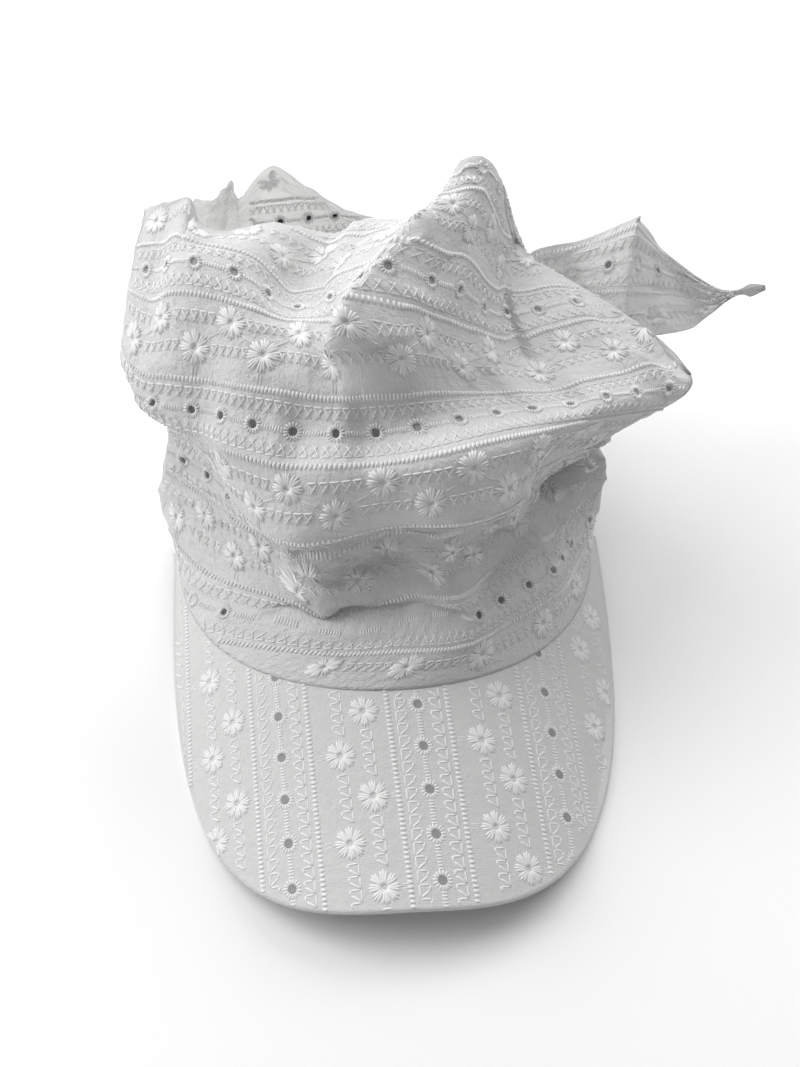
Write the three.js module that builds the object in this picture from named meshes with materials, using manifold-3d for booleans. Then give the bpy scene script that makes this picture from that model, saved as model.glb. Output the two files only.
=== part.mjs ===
// A soft scarf cap in white broderie anglaise, standing by itself: an arched peak (the brim), a tall
// folded crown of thin cotton that is open below for the head, and two scarf ties behind it.
// Millimetres. +Z is up, the brim points towards -Y, and the cap rests on z = 0.

import * as THREE from 'three';
import { mergeGeometries, mergeVertices } from 'three/addons/utils/BufferGeometryUtils.js';
import initManifold from 'manifold-3d';

const CLOTH = 1.4;            // crown and ties, wall with its embroidery
const GAP = 0.35;             // clearance left between neighbouring pieces
const HOLE = 1.75;            // radius of an embroidered eyelet
const PITCH = 15.5;           // eyelet to eyelet along a stripe
const REPEAT = 50;            // stripe to stripe up the cloth

const HEAD = { half: 84, front: 80, back: 98, middle: -7 };            // hem of the crown in plan
const BRIM = { half: 85.5, reach: 154, square: 2.95, rise: 32, pitch: 10, arch: 33, thick: 2.6, tuck: 1.5, lean: 1.5 };

// Levels up the cloth, measured along it from the hem. Above the brow a section is as tall as its
// own row says, so these last three share out what is left.
const LEVEL = { hem: 0, roll: 27, tuck: 55, wall: 90, brow: 122, shelf: 152, dome: 182, top: 212 };

// Front of the crown below the brow. One row a section, s mm from the middle along the stripes:
// where the low roll, the deep tuck and the wall over it lie, and how far up the pattern the hem cuts.
const LOW = [
  { s: -130, cut: 30, roll: [-90, 5, 31], tuck: [-86, 11, 47], wall: [-83, 17, 68] },
  { s: -100, cut: 24, roll: [-69, -25, 33], tuck: [-67, -11, 49], wall: [-66, -5, 72] },
  { s: -70, cut: 12, roll: [-46, -49, 36], tuck: [-46, -35, 50], wall: [-52, -36, 76] },
  { s: -40, cut: 2, roll: [-19, -67, 40], tuck: [-27, -55, 54], wall: [-32, -58, 83] },
  { s: -12, cut: 0, roll: [6, -69, 44], tuck: [-1, -48, 58], wall: [-1, -57, 88] },
  { s: 16, cut: 0, roll: [26, -70, 46], tuck: [20, -56, 64], wall: [23, -62, 95] },
  { s: 44, cut: 0, roll: [42, -57, 41], tuck: [33, -41, 58], wall: [42, -50, 88] },
  { s: 72, cut: 0, roll: [62, -42, 36], tuck: [50, -25, 52], wall: [53, -31, 81] },
  { s: 100, cut: 0, roll: [72, -26, 30], tuck: [68, -8, 46], wall: [72, -14, 72] },
  { s: 120, cut: 0, roll: [87, -5, 27], tuck: [88, -1, 44], wall: [88, 2, 63] },
];

// Front of the crown from the brow up to the crest where it meets the back. The height of a section
// is how far up the pattern its crest lies.
const HIGH = [
  { s: -130, height: 210, brow: [-95, 20, 88], shelf: [-92, 28, 106], dome: [-88, 45, 118], top: [-84, 66, 125] },
  { s: -112, height: 207, brow: [-87, 1, 90], shelf: [-82, 10, 110], dome: [-77, 34, 124], top: [-72, 60, 133] },
  { s: -98, height: 205, brow: [-75, -10, 94], shelf: [-71, 2, 117], dome: [-70, 26, 133], top: [-64.5, 55, 137.5] },
  { s: -84, height: 211, brow: [-62, -17, 98], shelf: [-59, -2, 121], dome: [-58, 23, 138], top: [-58, 50, 127.5] },
  { s: -66, height: 218, brow: [-51, -28, 104], shelf: [-45, -8, 127], dome: [-42, 22, 135], top: [-36, 52, 128] },
  { s: -46, height: 223, brow: [-35, -37, 107], shelf: [-30, -9, 127], dome: [-30, 23, 121], top: [-15, 53, 122] },
  { s: -28, height: 226, brow: [-18, -43, 112], shelf: [-17, -12, 127], dome: [-17, 21, 130], top: [-5, 53, 127.5] },
  { s: -10, height: 228, brow: [-2, -47, 117], shelf: [-6, -18, 136], dome: [-2, 16, 141], top: [12, 48, 132] },
  { s: 8, height: 231, brow: [14, -48, 121], shelf: [7, -15, 133], dome: [14, 15, 151], top: [23, 49, 142] },
  { s: 23, height: 232, brow: [28, -43, 119], shelf: [16, -9, 124], dome: [25, 18, 146], top: [31, 54, 151] },
  { s: 37, height: 233, brow: [40, -37, 115], shelf: [25, -3, 115], dome: [33, 25, 139], top: [40, 58, 148] },
  { s: 51, height: 231, brow: [51, -32, 111], shelf: [38, 1, 108], dome: [38, 30, 124], top: [46, 62, 136] },
  { s: 65, height: 225, brow: [63, -26, 106], shelf: [52, 4, 101], dome: [44, 34, 110], top: [50, 64, 117] },
  { s: 79, height: 213, brow: [74, -20, 101], shelf: [67, 7, 100], dome: [55, 33, 103], top: [57, 62, 103] },
  { s: 95, height: 204, brow: [86, -13, 95], shelf: [82, 10, 98], dome: [72, 34, 101], top: [66, 58, 99] },
  { s: 108, height: 175, brow: [97, -7, 88], shelf: [97, 6, 97], dome: [91, 20, 96], top: [89, 36, 97] },
  { s: 120, height: 140, brow: [106, -2, 83], shelf: [113, 2, 87], dome: [114, 8, 89], top: [111, 17, 91] },
];

// Back of the crown: how far it stands out behind the plain drop from the crest to the hem.
const BACK = [
  { level: 0, out: 0 },
  { level: 27, out: 6 },
  { level: 55, out: 11 },
  { level: 90, out: 16 },
  { level: 122, out: 19 },
  { level: 152, out: 18 },
  { level: 182, out: 12 },
  { level: 212, out: 0 },
];
const GATHERS = { count: 11, deep: 2.2 };      // soft upright folds across the back

// Rows of eyelets cut through the cloth, by how far up the pattern they lie; `first` and `last` count
// along the row from the eyelet nearest the middle of the front.
const EYELETS = [
  { name: 'front, above the hem', t: 28, first: -2, last: 10 },
  { name: 'front, on the wall', t: 78, first: -4, last: 10 },
  { name: 'front, on the brow', t: 128, first: -4, last: 10 },
  { name: 'front, on the shelf', t: 178, first: -4, last: 9 },
  { name: 'front, on the peak', t: 224, first: 5, last: 6 },
];
const MIDDLE_EYELET = 3.7;    // pitches from the eyelet counted 0 to the middle of the front
const BACK_EYELETS = { levels: [60, 110], count: 12 };
const TIE_EYELETS = [
  { name: 'tie_right', at: [[2.1, 0.75], [2.6, 0.6], [3.6, 0.8]] },
  { name: 'tie_left', at: [[7.1, 1.15], [8.1, 0.95], [9.6, 0.65]] },
];

// Sharper folds pressed into the front: from one place on the cloth (s, t) to another, how wide,
// and how far the fold stands out of the surface (negative: a crease).
const FOLDS = [
  { name: 'peak edge, low', s0: -24, t0: 156, s1: 8, t1: 198, wide: 10, lift: 5 },
  { name: 'peak edge, high', s0: 8, t0: 198, s1: 14, t1: 222, wide: 10, lift: 2 },
  { name: 'hollow beside it', s0: -36, t0: 176, s1: -24, t1: 214, wide: 9, lift: -3 },
  { name: 'peak face', s0: 10, t0: 172, s1: 40, t1: 200, wide: 14, lift: -2 },
  { name: 'left corner crease', s0: -106, t0: 150, s1: -88, t1: 206, wide: 10, lift: -3 },
  { name: 'brow, left', s0: -92, t0: 120, s1: -30, t1: 116, wide: 14, lift: 3 },
  { name: 'brow, right', s0: -20, t0: 116, s1: 96, t1: 124, wide: 12, lift: 2 },
  { name: 'left side crease', s0: -118, t0: 112, s1: -62, t1: 60, wide: 9, lift: -3 },
  { name: 'low right crease', s0: 20, t0: 30, s1: 72, t1: 46, wide: 10, lift: -2.5 },
  { name: 'right lobe', s0: 46, t0: 78, s1: 74, t1: 62, wide: 16, lift: 5 },
];

// The ties start against the back of the crown: a is the place round the back, v the level there.
// One row a section, from the crown outwards.
const TIE_RIGHT = {
  root: { a: 0.25, levels: [104, 84, 62] },
  fold: 3,
  sections: [
    { upper: [66, 84, 84], middle: [66, 82, 66], lower: [66, 80, 48] },
    { upper: [85, 88, 86], middle: [84, 80, 68], lower: [86, 76, 50] },
    { upper: [105, 84, 100], middle: [102, 70, 76], lower: [104, 62, 54] },
    { upper: [123, 88, 78], middle: [127, 82, 63], lower: [133, 72, 49] },
    { upper: [147, 88, 59], middle: [146, 86, 54], lower: [147, 80, 49] },
    { upper: [158, 88, 58], middle: [158, 87, 55.5], lower: [158.5, 86, 53] },
    { upper: [168, 86, 61], middle: [168, 85.6, 58.8], lower: [168, 85.2, 56.6] },
  ],
};
const TIE_LEFT = {
  level: 152,
  sections: [
    { a: 0.86, upper: [-64, 62, 131] },
    { a: 0.835, upper: [-59.5, 66, 127] },
    { a: 0.815, upper: [-56.5, 68, 127] },
    { a: 0.8, upper: [-54, 70, 129.5] },
    { a: 0.787, upper: [-51, 71, 132] },
    { a: 0.775, upper: [-50.5, 72, 125] },
    { a: 0.755, upper: [-48.5, 73, 123.5] },
    { a: 0.71, upper: [-37, 79, 132] },
    { a: 0.67, upper: [-27, 81, 123] },
    { a: 0.63, upper: [-19, 81, 116] },
    { a: 0.595, upper: [-12, 82, 110] },
    { a: 0.56, upper: [-5, 82, 106.5] },
    { a: 0.535, upper: [0, 82, 105] },
  ],
};


const material = (color, roughness) => new THREE.MeshStandardMaterial({ color, roughness, metalness: 0 });

// Smooth curve through a row of knots: value at x of numbers or of [x, y, z] triples.
function along(knots, values, x) {
  const last = knots.length - 1;
  const at = Math.min(Math.max(x, knots[0]), knots[last]);
  let i = 0;
  while (i < last - 1 && at >= knots[i + 1]) i++;
  const h = knots[i + 1] - knots[i];
  const u = (at - knots[i]) / h;
  const slope = (k, c) => {
    const a = Math.max(0, k - 1), b = Math.min(last, k + 1);
    return (values[b][c] - values[a][c]) / (knots[b] - knots[a]);
  };
  return values[i].map((_, c) => (2 * u ** 3 - 3 * u ** 2 + 1) * values[i][c]
    + (3 * u ** 2 - 2 * u ** 3) * values[i + 1][c]
    + (u ** 3 - 2 * u ** 2 + u) * h * slope(i, c) + (u ** 3 - u ** 2) * h * slope(i + 1, c));
}

const levels = Object.values(LEVEL);
const lowS = LOW.map((row) => row.s);
const highS = HIGH.map((row) => row.s);
const FIRST = highS[0], LAST = highS[highS.length - 1];

// Upper face of the brim: arched from side to side, pitched down to the front, flat where it rests.
function brimTop(x, y) {
  const front = HEAD.middle - HEAD.front;
  const z = BRIM.rise + Math.tan(THREE.MathUtils.degToRad(BRIM.pitch)) * (y - front)
    - BRIM.arch * (x / HEAD.half) ** 2;
  return Math.max(z, BRIM.thick);
}

// Front half of the hem: s mm along it from the middle.
const hemAngle = (() => {
  const steps = 180, angles = [], lengths = [];
  let run = 0, before = null;
  for (let k = 0; k <= steps; k++) {
    const angle = Math.PI * (k / steps - 0.5);
    const x = HEAD.half * Math.sin(angle), y = HEAD.middle - HEAD.front * Math.cos(angle);
    const here = new THREE.Vector3(x, y, brimTop(x, y));
    if (before) run += here.distanceTo(before);
    before = here;
    angles.push(angle);
    lengths.push(run);
  }
  const middle = run / 2;
  return (s) => {
    const ends = [FIRST, LAST];
    const want = middle + s * (s < 0 ? -middle / ends[0] : middle / ends[1]);
    let k = 1;
    while (k < steps && lengths[k] < want) k++;
    const part = (want - lengths[k - 1]) / (lengths[k] - lengths[k - 1]);
    return angles[k - 1] + Math.min(1, Math.max(0, part)) * (angles[k] - angles[k - 1]);
  };
})();

function hemFront(s) {
  const angle = hemAngle(s);
  const x = HEAD.half * Math.sin(angle), y = HEAD.middle - HEAD.front * Math.cos(angle);
  return [x, y, brimTop(x, y) + GAP];
}

// How far up the pattern the cloth is, at s along it and v on the scale of LEVEL.
function patternHeight(s, v) {
  const cut = along(lowS, LOW.map((row) => [row.cut]), s)[0];
  const height = along(highS, HIGH.map((row) => [row.height]), s)[0];
  if (v <= LEVEL.brow) return cut + v * (LEVEL.brow - cut) / LEVEL.brow;
  return LEVEL.brow + (v - LEVEL.brow) * (height - LEVEL.brow) / (LEVEL.top - LEVEL.brow);
}

// Front of the crown without its sharper folds.
function frontBase(s, v) {
  const low = (key) => along(lowS, LOW.map((row) => row[key]), s);
  const high = (key) => along(highS, HIGH.map((row) => row[key]), s);
  const section = [hemFront(s), low('roll'), low('tuck'), low('wall'),
    high('brow'), high('shelf'), high('dome'), high('top')];
  return new THREE.Vector3(...along(levels, section, v));
}

function frontNormal(s, v) {
  const e = 0.5;
  const across = frontBase(Math.min(s + e, LAST), v).sub(frontBase(Math.max(s - e, FIRST), v));
  const up = frontBase(s, Math.min(v + e, LEVEL.top)).sub(frontBase(s, Math.max(v - e, 0)));
  return across.cross(up).normalize();
}

// How strongly a fold acts at (s, t) on the cloth: a soft-edged tent over its line, fading at its ends.
function foldReach(fold, s, t) {
  const ds = fold.s1 - fold.s0, dt = fold.t1 - fold.t0;
  const part = ((s - fold.s0) * ds + (t - fold.t0) * dt) / (ds * ds + dt * dt);
  const near = Math.min(1, Math.max(0, part));
  const off = Math.hypot(s - fold.s0 - near * ds, t - fold.t0 - near * dt) / fold.wide;
  if (off >= 1) return 0;
  return (1 - off) ** 1.5 * Math.sin(Math.PI * Math.min(0.5, 0.15 + near)) ;
}

function crownFront(s, v) {
  const t = patternHeight(s, v);
  const lift = FOLDS.reduce((sum, fold) => sum + fold.lift * foldReach(fold, s, t), 0);
  const point = frontBase(s, v);
  return lift ? point.addScaledVector(frontNormal(s, v), lift) : point;
}

// Back half of the hem, round the head from its right end (a = 0) to its left end (a = 1). Its ends are
// on the brim; from there it soon comes down to the surface.
function hemBack(a) {
  const angle = Math.PI * a, lift = Math.max(0, 1 - Math.min(a, 1 - a) / 0.22) ** 1.6;
  return new THREE.Vector3(HEAD.half * Math.cos(angle), HEAD.middle + HEAD.back * Math.sin(angle),
    lift * hemFront(LAST)[2]);
}

// Back of the crown: hung between the crest, the hem and the two edges of the front.
function crownBack(a, v) {
  const w = v / LEVEL.top;
  const crest = crownFront(LAST + a * (FIRST - LAST), LEVEL.top);
  const point = hemBack(a).lerp(crest, w);
  for (const [edge, place] of [[LAST, 1 - a], [FIRST, a]]) {
    const straight = crownFront(edge, 0).lerp(crownFront(edge, LEVEL.top), w);
    point.addScaledVector(crownFront(edge, v).sub(straight), place ** 3);
  }
  const [out] = along(levels, BACK.map((row) => [row.out]), v);
  const round = Math.sin(Math.PI * a);
  point.y += out * round ** 0.6;
  point.y += GATHERS.deep * Math.sin(GATHERS.count * Math.PI * a) * round * Math.sin(Math.PI * w);
  return point;
}

// Closed solids from points and triangles.
function solidGeometry(points, triangles) {
  const geometry = new THREE.BufferGeometry();
  geometry.setAttribute('position', new THREE.Float32BufferAttribute(points.flatMap((p) => [p.x, p.y, p.z]), 3));
  geometry.setIndex(triangles);
  return geometry;
}

// Vertex normals of a sheet, and how far a wall must be set in at each vertex to keep its thickness.
function setIn(points, triangles, thick) {
  const sums = points.map(() => new THREE.Vector3());
  const faces = [];
  for (let k = 0; k < triangles.length; k += 3) {
    const [a, b, c] = triangles.slice(k, k + 3).map((i) => points[i]);
    const n = b.clone().sub(a).cross(c.clone().sub(a));
    const unit = n.clone().normalize();
    faces.push([triangles.slice(k, k + 3), unit]);
    for (const i of triangles.slice(k, k + 3)) sums[i].add(unit);
  }
  sums.forEach((n) => n.normalize());
  const least = points.map(() => 1);
  for (const [corners, unit] of faces) {
    for (const i of corners) least[i] = Math.min(least[i], Math.max(0.5, unit.dot(sums[i])));
  }
  return points.map((p, i) => p.clone().addScaledVector(sums[i], -thick / least[i]));
}

// A quad as two triangles, split along its shorter diagonal.
function quad(points, a, b, c, d) {
  return points[a].distanceTo(points[c]) < points[b].distanceTo(points[d])
    ? [a, b, c, a, c, d] : [a, b, d, b, c, d];
}

// The inside of the crown. Where front and back run together, at the crest and at both edges, there is
// no room for two walls, so the inside stops short of them.
const backPlace = (s) => (LAST - s) / (LAST - FIRST);
const room = (s, v) => crownFront(s, v).distanceTo(crownBack(backPlace(s), v));

function firstRoom(measure, most) {
  let d = 0;
  while (d < most && measure(d) < 3.2 * CLOTH) d += 0.5;
  return d;
}
const crestRoom = new Map(), edgeRoom = new Map();
const remembered = (store, key, make) => {
  if (!store.has(key)) store.set(key, make());
  return store.get(key);
};

// Moves x away from the end of its range by `short`, fading over the last `over` mm.
const shorten = (x, end, short, over) => {
  const d = Math.abs(x - end);
  return d >= over ? x : x + Math.sign(end === x ? -end : x - end) * short * (1 - d / over);
};

function outward(point, s, v) {
  const e = 0.5, v0 = Math.max(0, v - e), v1 = Math.min(LEVEL.top, v + e);
  const across = point(s + e, v).sub(point(s - e, v));
  return across.cross(point(s, v1).sub(point(s, v0))).normalize();
}

// Midway between two walls, moved in until it is a wall's thickness clear of both.
function between(p, outP, q, outQ) {
  const point = p.clone().lerp(q, 0.5);
  const need = Math.min(0, -CLOTH - point.clone().sub(p).dot(outP), -CLOTH - point.clone().sub(q).dot(outQ));
  return point.addScaledVector(outP.clone().add(outQ), need / Math.max(0.5, 1 + outP.dot(outQ)));
}

function innerPoint(s, v, front) {
  const middle = Math.min(Math.max(s, FIRST + 12), LAST - 12);
  const drop = remembered(crestRoom, middle, () => firstRoom((d) => room(middle, LEVEL.top - d), 50));
  const v1 = shorten(v, LEVEL.top, drop, drop + 18);
  const sides = remembered(edgeRoom, v1, () => [
    firstRoom((d) => room(FIRST + d, v1), 24), firstRoom((d) => room(LAST - d, v1), 24)]);
  const s1 = s < 0 ? shorten(s, FIRST, sides[0], sides[0] + 18) : shorten(s, LAST, sides[1], sides[1] + 18);
  const outFront = outward(crownFront, s1, v1);
  const outBack = outward((s2, v2) => crownBack(backPlace(s2), v2), s1, v1).negate();
  const onFront = crownFront(s1, v1), onBack = crownBack(backPlace(s1), v1);
  let point;
  if (s === FIRST || s === LAST || v === LEVEL.top) {
    point = between(onFront, outFront, onBack, outBack);
  } else {
    point = front ? onFront.addScaledVector(outFront, -CLOTH) : onBack.addScaledVector(outBack, -CLOTH);
  }
  if (v === 0) point.z = front ? brimTop(point.x, point.y) + GAP : crownBack(backPlace(s), 0).z;
  return point;
}

function crownSolid() {
  const columns = [];
  for (let k = 0; k < highS.length - 1; k++) {
    const parts = highS[k + 1] - highS[k] > 18 ? 3 : 2;
    for (let m = 0; m < parts; m++) columns.push(highS[k] + (highS[k + 1] - highS[k]) * m / parts);
  }
  columns.push(LAST);
  const rows = [];
  for (let k = 0; k < levels.length - 1; k++) {
    const parts = levels[k] < LEVEL.shelf ? 3 : 2;
    for (let m = 0; m < parts; m++) rows.push(levels[k] + (levels[k + 1] - levels[k]) * m / parts);
  }
  rows.push(LEVEL.top);
  const nc = columns.length, nr = rows.length, ring = 2 * nc - 2;
  const points = [];
  for (let j = 0; j < nr; j++) {
    for (let i = 0; i < nc; i++) points.push(crownFront(columns[i], rows[j]));
    if (j === nr - 1) break;
    for (let i = nc - 2; i > 0; i--) points.push(crownBack((LAST - columns[i]) / (LAST - FIRST), rows[j]));
  }
  const at = (i, j) => {
    const k = i % ring;
    if (j === nr - 1 && k >= nc) return j * ring + (ring - k);
    return j * ring + k;
  };
  const outer = [];
  for (let j = 0; j < nr - 1; j++) {
    for (let i = 0; i < ring; i++) outer.push(...quad(points, at(i, j), at(i + 1, j), at(i + 1, j + 1), at(i, j + 1)));
  }
  const kept = [];
  for (let k = 0; k < outer.length; k += 3) {
    const [a, b, c] = outer.slice(k, k + 3);
    if (a !== b && b !== c && c !== a) kept.push(a, b, c);
  }
  const inner = [];
  for (let j = 0; j < nr; j++) {
    for (let i = 0; i < nc; i++) inner.push(innerPoint(columns[i], rows[j], true));
    if (j === nr - 1) break;
    for (let i = nc - 2; i > 0; i--) inner.push(innerPoint(columns[i], rows[j], false));
  }
  const shift = points.length;
  const triangles = [...kept];
  for (let k = 0; k < kept.length; k += 3) triangles.push(kept[k] + shift, kept[k + 2] + shift, kept[k + 1] + shift);
  for (let i = 0; i < ring; i++) {
    const a = at(i, 0), b = at(i + 1, 0);
    triangles.push(a, a + shift, b + shift, a, b + shift, b);
  }
  return solidGeometry([...points, ...inner], triangles);
}

// The brim runs a little under the crown's front hem and ends in a horn at each side.
function brimSolid() {
  const turns = 36, reaches = [0, 0.12, 0.36, 0.6, 0.82, 1];
  const radius = (angle, across, ahead, n) =>
    1 / (Math.abs(Math.sin(angle) / across) ** n + Math.abs(Math.cos(angle) / ahead) ** n) ** (1 / n);
  const top = [], bottom = [];
  for (const reach of reaches) {
    for (let k = 0; k <= turns; k++) {
      const angle = 0.996 * Math.PI * (k / turns - 0.5);
      const inner = radius(angle, HEAD.half - BRIM.tuck, HEAD.front - BRIM.tuck, 2);
      const outer = radius(angle, BRIM.half, BRIM.reach, BRIM.square);
      const r = THREE.MathUtils.lerp(inner, outer, reach);
      const x = r * Math.sin(angle) + BRIM.lean * reach * Math.sqrt(Math.cos(angle)), y = HEAD.middle - r * Math.cos(angle);
      const z = brimTop(x, y);
      const edge = reach === 1 ? 0.5 : 0;
      top.push(new THREE.Vector3(x, y, z - edge));
      bottom.push(new THREE.Vector3(x, y, z - BRIM.thick));
    }
  }
  const points = [...top, ...bottom], shift = top.length, w = turns + 1, last = reaches.length - 1;
  const triangles = [];
  for (let j = 0; j < last; j++) {
    for (let k = 0; k < turns; k++) {
      const a = j * w + k, b = a + 1, c = b + w, d = a + w;
      triangles.push(...quad(points, a, d, c, b));
      triangles.push(...quad(points, a + shift, b + shift, c + shift, d + shift));
    }
  }
  const rim = (a, b) => triangles.push(a, b, b + shift, a, b + shift, a + shift);
  for (let k = 0; k < turns; k++) {
    rim(k, k + 1);
    rim(last * w + k + 1, last * w + k);
  }
  for (let j = 0; j < last; j++) {
    rim((j + 1) * w, j * w);
    rim(j * w + turns, (j + 1) * w + turns);
  }
  return solidGeometry(points, triangles);
}

const wasm = await initManifold();
wasm.setup();
const { Manifold, Mesh: SolidMesh } = wasm;

function toSolid(geometry) {
  const plain = geometry.clone();
  plain.deleteAttribute('normal');
  plain.deleteAttribute('uv');
  const merged = mergeVertices(plain, 1e-4);
  return new Manifold(new SolidMesh({
    numProp: 3,
    vertProperties: new Float32Array(merged.attributes.position.array),
    triVerts: new Uint32Array(merged.index.array),
  }));
}

function fromSolid(solid) {
  const mesh = solid.getMesh();
  const geometry = new THREE.BufferGeometry();
  geometry.setAttribute('position', new THREE.BufferAttribute(new Float32Array(mesh.vertProperties), 3));
  geometry.setIndex(new THREE.BufferAttribute(new Uint32Array(mesh.triVerts), 1));
  return geometry;
}

// A pin to cut one eyelet, along the surface normal and just longer than the wall is thick.
function eyeletPin(point, normal) {
  const pin = new THREE.CylinderGeometry(HOLE, HOLE, CLOTH + 2.4, 6);
  pin.rotateX(Math.PI / 2);
  pin.applyQuaternion(new THREE.Quaternion().setFromUnitVectors(new THREE.Vector3(0, 0, 1), normal));
  const middle = point.clone().addScaledVector(normal, -CLOTH / 2);
  pin.translate(middle.x, middle.y, middle.z);
  return pin;
}

// The level v at which the cloth is t mm up the pattern, at s along it.
function levelOf(s, t) {
  let low = 0, high = LEVEL.top;
  for (let k = 0; k < 30; k++) {
    const v = (low + high) / 2;
    if (patternHeight(s, v) < t) low = v; else high = v;
  }
  return low;
}

function crownPins() {
  const pins = [];
  for (const row of EYELETS) {
    for (let k = row.first; k <= row.last; k++) {
      const s = (k - MIDDLE_EYELET) * PITCH, v = levelOf(s, row.t);
      pins.push(eyeletPin(crownFront(s, v), outward(crownFront, s, v)));
    }
  }
  for (const v of BACK_EYELETS.levels) {
    for (let k = 1; k <= BACK_EYELETS.count; k++) {
      const s = FIRST + (LAST - FIRST) * k / (BACK_EYELETS.count + 1);
      const point = (s1, v1) => crownBack(backPlace(s1), v1);
      pins.push(eyeletPin(point(s, v), outward(point, s, v).negate()));
    }
  }
  return pins;
}

function tiePins(name, point) {
  return TIE_EYELETS.find((row) => row.name === name).at.map(([u, w]) => {
    const across = point(u + 0.1, w).sub(point(u - 0.1, w));
    const down = point(u, w + 0.1).sub(point(u, w - 0.1));
    return eyeletPin(point(u, w), across.cross(down).normalize());
  });
}

function pierced(geometry, pins) {
  const solid = pins.reduce((body, pin) => body.subtract(toSolid(pin)), toSolid(geometry));
  return fromSolid(solid);
}

// A wall of even thickness from a grid of points, rows running along the strip.
function sheetSolid(grid, thick) {
  const rows = grid.length, cols = grid[0].length;
  const points = grid.flat();
  const outer = [];
  for (let j = 0; j < rows - 1; j++) {
    for (let i = 0; i < cols - 1; i++) {
      const a = j * cols + i;
      outer.push(...quad(points, a, a + 1, a + cols + 1, a + cols));
    }
  }
  const inner = setIn(points, outer, thick);
  const shift = points.length, triangles = [...outer];
  for (let k = 0; k < outer.length; k += 3) triangles.push(outer[k] + shift, outer[k + 2] + shift, outer[k + 1] + shift);
  const rim = (a, b) => triangles.push(b, a, a + shift, b, a + shift, b + shift);
  for (let i = 0; i < cols - 1; i++) {
    rim(i, i + 1);
    rim((rows - 1) * cols + i + 1, (rows - 1) * cols + i);
  }
  for (let j = 0; j < rows - 1; j++) {
    rim((j + 1) * cols, j * cols);
    rim(j * cols + cols - 1, (j + 1) * cols + cols - 1);
  }
  return solidGeometry([...points, ...inner], triangles);
}

// A point lying just clear of the back of the crown.
function againstBack(a, v, off = GAP + CLOTH) {
  const e = 0.01;
  const round = crownBack(a + e, v).sub(crownBack(a - e, v));
  const up = crownBack(a, v + 1).sub(crownBack(a, v - 1));
  return crownBack(a, v).addScaledVector(round.cross(up).normalize(), off);
}

function tieRightPoint(u, w) {
  const root = TIE_RIGHT.root.levels.map((v) => againstBack(TIE_RIGHT.root.a, v, 3 * GAP).toArray());
  const rows = [root, ...TIE_RIGHT.sections.map((row) => [row.upper, row.middle, row.lower])];
  // The cloth is pressed to a sharp edge at the fold, so each side of it is a curve of its own.
  const from = u <= TIE_RIGHT.fold ? 0 : TIE_RIGHT.fold;
  const side = from ? rows.slice(from) : rows.slice(0, TIE_RIGHT.fold + 1);
  const strip = [0, 1, 2].map((k) => along(side.map((_, i) => i), side.map((row) => row[k]), u - from));
  return new THREE.Vector3(...along([0, 1, 2], strip, w));
}

function tieLeftPoint(u, w) {
  const knots = TIE_LEFT.sections.map((_, i) => i);
  const upper = along(knots, TIE_LEFT.sections.map((row) => row.upper), u);
  const [a] = along(knots, TIE_LEFT.sections.map((row) => [row.a]), u);
  const foot = againstBack(a, TIE_LEFT.level);
  const point = new THREE.Vector3(...upper).lerp(foot, w / 2);
  point.y += 3 * Math.sin(Math.PI * w / 2);
  return point;
}

const gridOf = (point, last, along_, across) => Array.from({ length: across + 1 }, (_, j) =>
  Array.from({ length: along_ + 1 }, (_, i) => point(last * i / along_, 2 * j / across)));

const group = new THREE.Group();
group.name = 'scarf_cap';
function add(name, geometry, color, roughness = 0.9) {
  geometry.computeVertexNormals();
  const mesh = new THREE.Mesh(geometry, material(color, roughness));
  mesh.name = name;
  group.add(mesh);
}

const tieRight = sheetSolid(gridOf(tieRightPoint, TIE_RIGHT.sections.length, 21, 4), CLOTH);
const tieLeft = sheetSolid(gridOf(tieLeftPoint, TIE_LEFT.sections.length - 1, 24, 3), CLOTH);

add('crown', pierced(crownSolid(), crownPins()), 0xf1f0ec);
add('brim', brimSolid(), 0xefeeea);
add('tie_right', pierced(tieRight, tiePins('tie_right', tieRightPoint)), 0xf0efeb);
add('tie_left', pierced(tieLeft, tiePins('tie_left', tieLeftPoint)), 0xf0efeb);

// The origin is in the middle of the footprint, on the surface the cap rests on.
const extent = new THREE.Box3().setFromObject(group);
const middle = extent.getCenter(new THREE.Vector3());
group.position.set(-middle.x, -middle.y, -extent.min.z);

export default group;
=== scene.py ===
import math
import bpy
import numpy as np
from mathutils import Matrix, Vector


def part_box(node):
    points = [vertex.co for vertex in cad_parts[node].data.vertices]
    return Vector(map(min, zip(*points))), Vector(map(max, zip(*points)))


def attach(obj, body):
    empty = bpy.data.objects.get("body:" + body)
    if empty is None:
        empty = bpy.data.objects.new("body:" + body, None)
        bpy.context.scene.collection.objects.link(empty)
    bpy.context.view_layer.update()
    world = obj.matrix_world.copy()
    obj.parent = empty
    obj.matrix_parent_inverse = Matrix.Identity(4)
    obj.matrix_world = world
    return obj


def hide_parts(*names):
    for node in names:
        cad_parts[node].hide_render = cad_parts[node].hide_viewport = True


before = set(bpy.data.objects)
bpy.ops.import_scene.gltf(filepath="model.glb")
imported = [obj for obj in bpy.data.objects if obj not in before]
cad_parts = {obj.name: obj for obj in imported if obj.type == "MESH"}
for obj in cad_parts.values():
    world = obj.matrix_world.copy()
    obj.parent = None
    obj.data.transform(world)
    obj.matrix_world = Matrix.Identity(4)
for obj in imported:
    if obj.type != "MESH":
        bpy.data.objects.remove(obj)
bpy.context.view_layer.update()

bpy.ops.object.select_all(action='DESELECT')


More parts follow.
